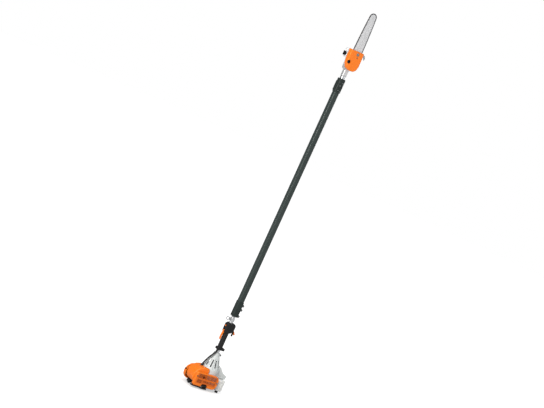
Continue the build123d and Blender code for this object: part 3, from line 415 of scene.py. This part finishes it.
def make_tool_marks():
    """Slightly darker ground steel for rails and rivets of the bar."""
    return make_steel("bar_rail", (0.36, 0.36, 0.37))


def make_fuel():
    f = Finish("fuel", (0.60, 0.60, 0.50), 0.12)
    f.put("Transmission Weight", 0.6)
    f.tint(f.noise(30), (0.68, 0.66, 0.50))
    f.bump(f.noise(60), 0.0002)
    return f.done()


MATERIALS = {
    "orange_cover": make_orange(), "black_plastic": make_black(), "grey_polymer": make_grey(),
    "cast_alloy": make_cast(), "tube_dark": make_tube_dark(), "tube_silver": make_tube_silver(),
    "clear_tank": make_tank(), "bar_steel": make_bar(), "chain_steel": make_chain(),
    "steel": make_steel(), "zinc_screws": make_steel("zinc_screws", (0.17, 0.17, 0.175)),
    "bush_polymer": make_bush(), "rubber": make_rubber(), "cable_sheath": make_cable(),
    "rope_fibre": make_rope(), "filter_felt": make_felt(), "muffler_steel": make_muffler(),
}
NODE_SLOT = {entry["node"]: entry["material_slot"] for entry in frame["record"]["subparts"]}
BODY = {node: NODES[node]["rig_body"] for node in NODES}


# ---------------------------------------------------------------- mesh helpers
def to_object(name, bm, slot, body=None, material=None, smooth=True):
    bmesh.ops.recalc_face_normals(bm, faces=bm.faces)
    mesh = bpy.data.meshes.new(name)
    bm.to_mesh(mesh)
    bm.free()
    for p in mesh.polygons:
        p.use_smooth = smooth
    mesh.materials.append(material or MATERIALS[slot])
    obj = bpy.data.objects.new(name, mesh)
    SCENE.collection.objects.link(obj)
    if smooth:
        split = obj.modifiers.new("edges", "EDGE_SPLIT")
        split.split_angle = math.radians(38)
    if body is not None:
        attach(obj, body)
    return obj


def slab(bm, outline, origin, u, v, w0, w1):
    """Prism: outline of (u, v) points laid at origin, between w0 and w1 along u x v."""
    n = u.cross(v)
    rings = []
    for w in (w0, w1):
        rings.append([bm.verts.new(origin + u * a + v * b + n * w) for a, b in outline])
    bm.faces.new(rings[0][::-1])
    bm.faces.new(rings[1])
    for i in range(len(outline)):
        j = (i + 1) % len(outline)
        bm.faces.new((rings[0][i], rings[0][j], rings[1][j], rings[1][i]))


def lathe(bm, profile, origin, axis, steps=32):
    """Revolves (radius, height) points about an axis; ends close where the radius is 0."""
    axis = axis.normalized()
    side = axis.orthogonal().normalized()
    other = axis.cross(side)
    rings = []
    for r, h in profile:
        centre = origin + axis * h
        if r < 1e-7:
            rings.append([bm.verts.new(centre)])
        else:
            rings.append([bm.verts.new(centre + (side * math.cos(2 * math.pi * k / steps)
                                                 + other * math.sin(2 * math.pi * k / steps)) * r)
                          for k in range(steps)])
    for a, b in zip(rings, rings[1:]):
        for k in range(steps):
            m = (k + 1) % steps
            corner = [a[k % len(a)], a[m % len(a)], b[m % len(b)], b[k % len(b)]]
            unique = list(dict.fromkeys(corner))
            if len(unique) > 2:
                bm.faces.new(unique)


def tube(bm, points, radius, steps=12, closed=False):
    """Round tube along points."""
    rings = []
    side = None
    for i, p in enumerate(points):
        if closed:
            run = points[(i + 1) % len(points)] - points[i - 1]
        else:
            run = points[min(i + 1, len(points) - 1)] - points[max(i - 1, 0)]
        run.normalize()
        side = run.orthogonal() if side is None else side - run * side.dot(run)
        side = side.normalized()
        other = run.cross(side)
        rings.append([bm.verts.new(p + (side * math.cos(2 * math.pi * k / steps)
                                        + other * math.sin(2 * math.pi * k / steps)) * radius)
                      for k in range(steps)])
    pairs = list(zip(rings, rings[1:]))
    if closed:
        pairs.append((rings[-1], rings[0]))
    else:
        bm.faces.new(rings[0][::-1])
        bm.faces.new(rings[-1])
    for a, b in pairs:
        for k in range(steps):
            m = (k + 1) % steps
            bm.faces.new((a[k], a[m], b[m], b[k]))


# ---------------------------------------------------------------- the saw chain
BAR_LO, BAR_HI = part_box("guide_bar")
CHAIN_LO, CHAIN_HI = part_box("saw_chain")
BAR_MID = (CHAIN_LO.y + CHAIN_HI.y) / 2
BAR_HALF = 0.002
NOSE_R = 0.021
NOSE_Z = BAR_HI.z - NOSE_R
FULL_R = BAR_HI.x
TAPER_Z = NOSE_Z - 0.229
TURN_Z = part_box("chain_sprocket")[0].z + 0.015
TURN_R = 0.0165
PITCH = 0.0094


def half_width(z):
    t = max(0.0, min(1.0, (z - TAPER_Z) / (NOSE_Z - TAPER_Z)))
    return FULL_R - (FULL_R - NOSE_R) * (0.35 * t + 0.65 * t * t)


def chain_loop(out):
    """Closed (x, z) path outside the bar edge, up the +X rail and down the other."""
    path = []
    low = BAR_LO.z + 0.026
    for i in range(60):
        z = low + (NOSE_Z - low) * i / 59
        path.append((half_width(z) + out, z))
    for i in range(1, 24):
        a = math.pi * i / 24
        path.append(((NOSE_R + out) * math.cos(a), NOSE_Z + (NOSE_R + out) * math.sin(a)))
    for i in range(60):
        z = NOSE_Z + (low - NOSE_Z) * i / 59
        path.append((-half_width(z) - out, z))
    for i in range(0, 17):
        a = math.pi + math.pi * i / 16
        path.append(((TURN_R + out) * math.cos(a), TURN_Z + (TURN_R + out) * math.sin(a)))
    return path


def walk(path, count):
    """count evenly spaced points on a closed path."""
    total = 0.0
    marks = [0.0]
    for i in range(len(path)):
        a, b = path[i], path[(i + 1) % len(path)]
        total += math.dist(a, b)
        marks.append(total)
    found = []
    seg = 0
    for k in range(count):
        s = total * k / count
        while marks[seg + 1] < s:
            seg += 1
        a, b = path[seg], path[(seg + 1) % len(path)]
        t = (s - marks[seg]) / max(marks[seg + 1] - marks[seg], 1e-9)
        found.append(Vector((a[0] + (b[0] - a[0]) * t, 0, a[1] + (b[1] - a[1]) * t)))
    return found


def length_of(path):
    return sum(math.dist(path[i], path[(i + 1) % len(path)]) for i in range(len(path)))


RIVET_OUT = 0.0036
TIE = [(-0.0020, -0.0019), (0.0, -0.0031), (0.5, -0.0024), (1.0, -0.0031), (1.0020, -0.0019),
       (1.0026, 0.0003), (1.0018, 0.0022), (1.0, 0.0030), (0.5, 0.0021), (0.0, 0.0030),
       (-0.0018, 0.0022), (-0.0026, 0.0003)]
DRIVE = [(-0.0018, -0.0018), (0.0004, -0.0030), (0.25, -0.0031), (0.5, -0.0031), (0.75, -0.0031),
         (0.9996, -0.0030), (1.0018, -0.0018), (1.0018, 0.0014), (0.9996, 0.0024), (0.72, 0.0024),
         (0.5, 0.0033), (0.28, 0.0024), (0.0004, 0.0024), (-0.0018, 0.0014)]
CUTTER = [(-0.0020, -0.0019), (0.0, -0.0031), (0.5, -0.0024), (1.0, -0.0031), (1.0020, -0.0019),
          (1.0026, 0.0008), (1.0020, 0.0030), (0.94, 0.0034), (0.80, 0.0030), (0.70, 0.0014), (0.60, 0.0012),
          (0.50, 0.0026),
          (0.44, 0.0040), (0.10, 0.0038), (-0.0022, 0.0034), (-0.0026, 0.0005)]


def along(outline, span):
    """Outlines hold a share of the pitch plus a small overhang past each rivet."""
    out = []
    for a, b in outline:
        if a < 0.0:
            out.append((a, b))
        elif a > 1.0:
            out.append((span + a - 1.0, b))
        elif 0.0 < a < 0.001:
            out.append((a, b))
        elif 0.999 < a < 1.0:
            out.append((span - (1.0 - a), b))
        else:
            out.append((a * span, b))
    return out


def build_chain():
    loop = chain_loop(RIVET_OUT)
    count = 4 * round(length_of(loop) / PITCH / 4)
    rivets = walk(loop, count)
    across = Vector((0, 1, 0))
    drives, ties, cutters, pins = bmesh.new(), bmesh.new(), bmesh.new(), bmesh.new()
    for k in range(count):
        a, b = rivets[k], rivets[(k + 1) % count]
        run = b - a
        span = run.length
        u = run.normalized()
        v = u.cross(across)
        place = a + across * BAR_MID
        if k % 2 == 0:
            slab(drives, along(DRIVE, span), place, u, v, -0.00065, 0.00065)
        else:
            side = 1 if k % 4 == 1 else -1
            slab(ties, along(TIE, span), place - across * side * 0.00155, u, v, -0.00055, 0.00055)
            slab(cutters, along(CUTTER, span), place + across * side * 0.00155, u, v, -0.00055, 0.00055)
            top = [(-0.0022, 0.0032), (0.44 * span, 0.0037), (0.44 * span, 0.0041), (-0.0022, 0.0036)]
            slab(cutters, top, place + across * side * 0.00125, u, v, -0.0017, 0.0017)
        lathe(pins, [(0, -0.0030), (0.0011, -0.0030), (0.0014, -0.0026), (0.0014, 0.0026), (0.0011, 0.0030),
                     (0, 0.0030)], place, across, 10)
    body = BODY["saw_chain"]
    made = [to_object("chain_drive_links", drives, "chain_steel", body),
            to_object("chain_tie_straps", ties, "chain_steel", body),
            to_object("chain_cutters", cutters, "chain_steel", body, material=CUTTER_STEEL),
            to_object("chain_rivets", pins, "steel", body)]
    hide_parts("saw_chain")
    return made


# ---------------------------------------------------------------- small visual pieces
def build_bar_detail():
    """Rail lines and nose sprocket rivets on both faces of the bar."""
    rails, rivets = bmesh.new(), bmesh.new()
    for y in (BAR_MID - BAR_HALF, BAR_MID + BAR_HALF):
        out = -1 if y < BAR_MID else 1
        for edge in (-1, 1):
            strip = []
            for i in range(50):
                z = TAPER_Z - 0.004 + (NOSE_Z - TAPER_Z + 0.004) * i / 49
                strip.append((edge * (half_width(z) - 0.0034), z))
            for i in range(len(strip) - 1):
                (xa, za), (xb, zb) = strip[i], strip[i + 1]
                quad = [Vector((xa, y + out * 0.00004, za)), Vector((xb, y + out * 0.00004, zb)),
                        Vector((xb + edge * 0.0005, y + out * 0.00004, zb)),
                        Vector((xa + edge * 0.0005, y + out * 0.00004, za))]
                rails.faces.new([rails.verts.new(q) for q in quad])
        for k in range(4):
            a = math.radians(45 + 90 * k)
            centre = Vector((0.0072 * math.cos(a), y, NOSE_Z - 0.004 + 0.0072 * math.sin(a)))
            lathe(rivets, [(0.0017, 0), (0.0016, 0.00012), (0.0012, 0.00016), (0, 0.00016)], centre,
                  Vector((0, out, 0)), 20)
    body = BODY["guide_bar"]
    return [to_object("bar_rail_lines", rails, "bar_steel", body, material=RAIL_STEEL, smooth=False),
            to_object("bar_nose_rivets", rivets, "bar_steel", body, material=RAIL_STEEL)]


def build_rope():
    """Braided starter rope: six strands wound round each other."""
    lo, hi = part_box("starter_rope")
    x, z = (lo.x + hi.x) / 2, (lo.z + hi.z) / 2
    bm = bmesh.new()
    for k in range(6):
        turn = 1 if k % 2 == 0 else -1
        points = []
        for i in range(121):
            t = i / 120
            a = turn * 2 * math.pi * 7 * t + 2 * math.pi * k / 6
            r = 0.00085 + 0.00018 * math.sin(6 * math.pi * 7 * t + k)
            points.append(Vector((x + r * math.cos(a), lo.y + (hi.y - lo.y) * t, z + r * math.sin(a))))
        tube(bm, points, 0.00072, 8)
    rope = to_object("starter_rope_braid", bm, "rope_fibre")
    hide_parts("starter_rope")
    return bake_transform(rope)


def build_cable_boots():
    """Rubber collars where the throttle cable enters the handle flange and the shroud."""
    mesh = NODES["throttle_cable"].data
    points = [v.co for v in mesh.vertices]
    top, bottom = max(p.z for p in points), min(p.z for p in points)
    bm = bmesh.new()
    for level, direction in ((top - 0.009, 1), (bottom + 0.016, -1)):
        near = [p for p in points if abs(p.z - level) < 0.004]
        far = [p for p in points if abs(p.z - level + direction * 0.016) < 0.004]
        if not near or not far:
            continue
        a = sum(near, Vector()) / len(near)
        b = sum(far, Vector()) / len(far)
        axis = (a - b).normalized()
        profile = [(0.0056, -0.010), (0.0064, -0.010), (0.0068, -0.008), (0.0064, -0.0065), (0.0074, -0.0035),
                   (0.0069, -0.002), (0.0082, 0.001), (0.0082, 0.003), (0.0056, 0.003)]
        lathe(bm, profile, a, axis, 28)
    return to_object("cable_boots", bm, "rubber", BODY["throttle_cable"])


def build_fuel():
    """Fuel seen through the tank wall."""
    lo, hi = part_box("fuel_tank")
    inset = 0.006
    bm = bmesh.new()
    size = Vector((hi.x - lo.x - 2 * inset, 0.104, 0.024))
    centre = Vector(((lo.x + hi.x) / 2, 0, lo.z + 0.005 + size.z / 2))
    bmesh.ops.create_cube(bm, size=1.0, matrix=Matrix.Translation(centre) @ Matrix.Diagonal((*size, 1)))
    bmesh.ops.bevel(bm, geom=bm.edges[:], offset=0.006, segments=4, affect="EDGES", profile=0.6)
    return to_object("fuel_fill", bm, "clear_tank", BODY["fuel_tank"], material=FUEL)


RIB_COUNT = 6
RIB_STEP = 0.0125
RIB_STEPS = 25
RIB_START, RIB_TURN = 104, 3.6
RIB_SECTION = ((-0.0004, -0.0019), (0.0013, -0.0011), (0.0013, 0.0011), (-0.0004, 0.0019))
SHROUD_CENTRE = Vector((-0.078, 0.0, -0.268))


def build_shroud_ribs():
    """Low stiffening ribs laid round the outer bend of the engine shroud, found by casting rays at it."""
    mesh = NODES["engine_shroud"].data
    tree = BVHTree.FromPolygons([v.co for v in mesh.vertices], [tuple(p.vertices) for p in mesh.polygons])
    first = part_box("engine_shroud")[0].y + 0.016
    bm = bmesh.new()
    for k in range(RIB_COUNT):
        centre = SHROUD_CENTRE + Vector((0, first + k * RIB_STEP, 0))
        path = []
        for i in range(RIB_STEPS):
            a = math.radians(RIB_START + i * RIB_TURN)
            out = Vector((math.cos(a), 0.0, math.sin(a)))
            point, normal = tree.ray_cast(centre + out * 0.2, -out)[:2]
            if point is not None and normal.dot(out) > 0.5:
                path.append((point, normal))
        for (p, n), (q, m) in zip(path, path[1:]):
            if (p - q).length > 0.012:
                continue
            ends = []
            for c, d in ((p, n), (q, m)):
                ends.append([bm.verts.new(c + d * h + Vector((0, w, 0))) for h, w in RIB_SECTION])
            for j in range(3):
                bm.faces.new((ends[0][j], ends[0][j + 1], ends[1][j + 1], ends[1][j]))
    bmesh.ops.remove_doubles(bm, verts=bm.verts, dist=0.00002)
    to_object("shroud_ribs", bm, "orange_cover", BODY["engine_shroud"])


SKID_TOP = [(-0.134, -0.3270), (-0.116, -0.3288), (-0.094, -0.3296), (-0.068, -0.3306), (-0.056, -0.3334),
            (-0.034, -0.3340), (-0.012, -0.3334)]
SKID_THICK, SKID_WIDE = 0.008, 0.017


def build_skid():
    """Black skid strip that curves from the left foot along the lower edge of the muffler cover."""
    bm = bmesh.new()
    outline = SKID_TOP + [(x, z - SKID_THICK) for x, z in reversed(SKID_TOP)]
    slab(bm, outline, Vector((0, -0.062, 0)), Vector((1, 0, 0)), Vector((0, 0, 1)), 0.0, SKID_WIDE)
    skid = to_object("base_skid", bm, "black_plastic", BODY["starter_housing"])
    soft = skid.modifiers.new("soft", "BEVEL")
    soft.width = 0.0012
    soft.segments = 2


# ---------------------------------------------------------------- build
CUTTER_STEEL = make_steel("cutter_steel", (0.13, 0.13, 0.134))
RAIL_STEEL = make_tool_marks()
FUEL = make_fuel()

# Louvre banks of the muffler cover, darkened with painted shade.
BANKS = (((-0.110, -0.100, -0.278), (0.042, -0.060, -0.241)),
         ((-0.110, -0.100, -0.311), (0.042, -0.060, -0.283)))
OWN_FINISH = {
    "muffler_cover": make_orange("orange_shaded_cover", BANKS),
    "clamp_screws": make_steel("clamp_zinc", (0.42, 0.43, 0.43)),
    "bar_nut": make_steel("nut_zinc", (0.66, 0.66, 0.64)),
    "upper_clamp": make_black("clamp_green_black", (0.0105, 0.0165, 0.015)),
    "lower_clamp": make_black("clamp_green_black_2", (0.0115, 0.0180, 0.0165)),
}

for name, node in NODES.items():
    node.data.materials.clear()
    node.data.materials.append(OWN_FINISH.get(name, MATERIALS[NODE_SLOT[name]]))


build_chain()
build_bar_detail()
build_rope()
build_cable_boots()
build_fuel()
build_shroud_ribs()
build_skid()


# ---------------------------------------------------------------- stage
FLOOR_Z = CAD_BOX[0].z - 0.0004


def build_floor():
    bm = bmesh.new()
    steps = 96
    radii = (0.0, 1.0, 3.0, 7.0, 14.0, 22.0)
    rings = [[bm.verts.new((0, 0, FLOOR_Z))]]
    turns = [2 * math.pi * k / steps for k in range(steps)]
    for r in radii[1:]:
        rings.append([bm.verts.new((r * math.cos(a), r * math.sin(a), FLOOR_Z)) for a in turns])
    for k in range(steps):
        bm.faces.new((rings[0][0], rings[1][k], rings[1][(k + 1) % steps]))
    for a, b in zip(rings[1:], rings[2:]):
        for k in range(steps):
            m = (k + 1) % steps
            bm.faces.new((a[k], b[k], b[m], a[m]))
    mesh = bpy.data.meshes.new("studio_floor")
    bm.to_mesh(mesh)
    bm.free()
    f = Finish("studio_floor", (0.25, 0.25, 0.25), 0.9)
    f.put("Specular IOR Level", 0.0)
    f.put("Emission Color", (1, 1, 1, 1))
    # Painted contact shadow: the floor's glow is dimmed by ambient occlusion near the object.
    ao = f.new("ShaderNodeAmbientOcclusion")
    ao.samples = 12
    ao.inputs["Distance"].default_value = 0.22
    near = f.span(ao.outputs["AO"], 0.25, 0.97, 0.50, 0.97)
    seen = f.span(f.new("ShaderNodeLightPath").outputs["Is Camera Ray"], 0.0, 1.0, 0.36, 1.0)
    f.link(f.times(near, seen), f.bsdf.inputs["Emission Strength"])
    f.tint(f.noise(0.8, 2), (0.27, 0.27, 0.27))
    mesh.materials.append(f.done())
    floor = bpy.data.objects.new("studio_floor", mesh)
    SCENE.collection.objects.link(floor)


def build_world():
    world = bpy.data.worlds.new("studio")
    SCENE.world = world
    world.use_nodes = True
    tree = world.node_tree
    tree.nodes.clear()
    out = tree.nodes.new("ShaderNodeOutputWorld")
    mix = tree.nodes.new("ShaderNodeMixShader")
    seen = tree.nodes.new("ShaderNodeBackground")
    light = tree.nodes.new("ShaderNodeBackground")
    rays = tree.nodes.new("ShaderNodeLightPath")
    seen.inputs["Color"].default_value = (1, 1, 1, 1)
    seen.inputs["Strength"].default_value = 1.0
    light.inputs["Color"].default_value = (0.96, 0.98, 1.0, 1)
    where = tree.nodes.new("ShaderNodeTexCoord")
    split = tree.nodes.new("ShaderNodeSeparateXYZ")
    fade = tree.nodes.new("ShaderNodeMapRange")
    fade.inputs["From Min"].default_value = -0.4
    fade.inputs["From Max"].default_value = 1.0
    fade.inputs["To Min"].default_value = 0.20
    fade.inputs["To Max"].default_value = 0.52
    tree.links.new(where.outputs["Generated"], split.inputs["Vector"])
    tree.links.new(split.outputs["Z"], fade.inputs["Value"])
    tree.links.new(fade.outputs["Result"], light.inputs["Strength"])
    tree.links.new(rays.outputs["Is Camera Ray"], mix.inputs["Fac"])
    tree.links.new(light.outputs["Background"], mix.inputs[1])
    tree.links.new(seen.outputs["Background"], mix.inputs[2])
    tree.links.new(mix.outputs["Shader"], out.inputs["Surface"])


def area(name, place, target, size, size_y, power, colour=(1, 1, 1)):
    data = bpy.data.lights.new(name, "AREA")
    data.shape = "RECTANGLE"
    data.size, data.size_y = size, size_y
    data.energy = power
    data.color = colour
    lamp = bpy.data.objects.new(name, data)
    lamp.location = place
    lamp.rotation_mode = "QUATERNION"
    lamp.rotation_quaternion = (Vector(target) - Vector(place)).to_track_quat("-Z", "Y")
    SCENE.collection.objects.link(lamp)


def build_lights():
    area("key", (-4.4, -2.4, 3.4), (0, 0, 0.9), 2.2, 3.4, 250, (1.0, 0.985, 0.96))
    area("front", (1.4, -5.2, 1.8), (0, 0, 0.8), 2.0, 3.6, 62)
    area("rim", (3.6, 1.8, 2.2), (0, 0, 0.9), 0.9, 3.4, 60)
    area("dome", (-1.9, -1.3, 1.5), (-0.10, 0, -0.25), 0.35, 1.1, 20, (1.0, 0.98, 0.94))
    area("low_left", (-3.4, -1.0, 0.2), (0, 0, -0.1), 0.8, 1.2, 14)


CAMERA_PLACE = Vector((-5.446, -8.387, 2.0))
CAMERA_SIDE = 0.0091
CAMERA_TURN = (32.603, -5.950, 24.45)


def build_camera():
    """Camera from yaw, pitch and roll in degrees, a small step to its left."""
    yaw, pitch, roll = [math.radians(a) for a in CAMERA_TURN]
    forward = Vector((math.sin(yaw) * math.cos(pitch), math.cos(yaw) * math.cos(pitch), math.sin(pitch)))
    right = forward.cross(Vector((0, 0, 1))).normalized()
    up = right.cross(forward)
    x = right * math.cos(roll) + up * math.sin(roll)
    y = -right * math.sin(roll) + up * math.cos(roll)
    data = bpy.data.cameras.new("camera")
    data.lens = 101.7
    data.sensor_width = 36.0
    data.clip_start, data.clip_end = 0.1, 80.0
    camera = bpy.data.objects.new("camera", data)
    turn = Matrix((x, y, -forward)).transposed()
    place = CAMERA_PLACE - x * CAMERA_SIDE
    camera.matrix_world = Matrix.Translation(place) @ turn.to_4x4()
    SCENE.collection.objects.link(camera)
    SCENE.camera = camera


build_floor()
build_world()
build_lights()
build_camera()
SCENE.view_settings.view_transform = "Standard"
SCENE.view_settings.look = "None"
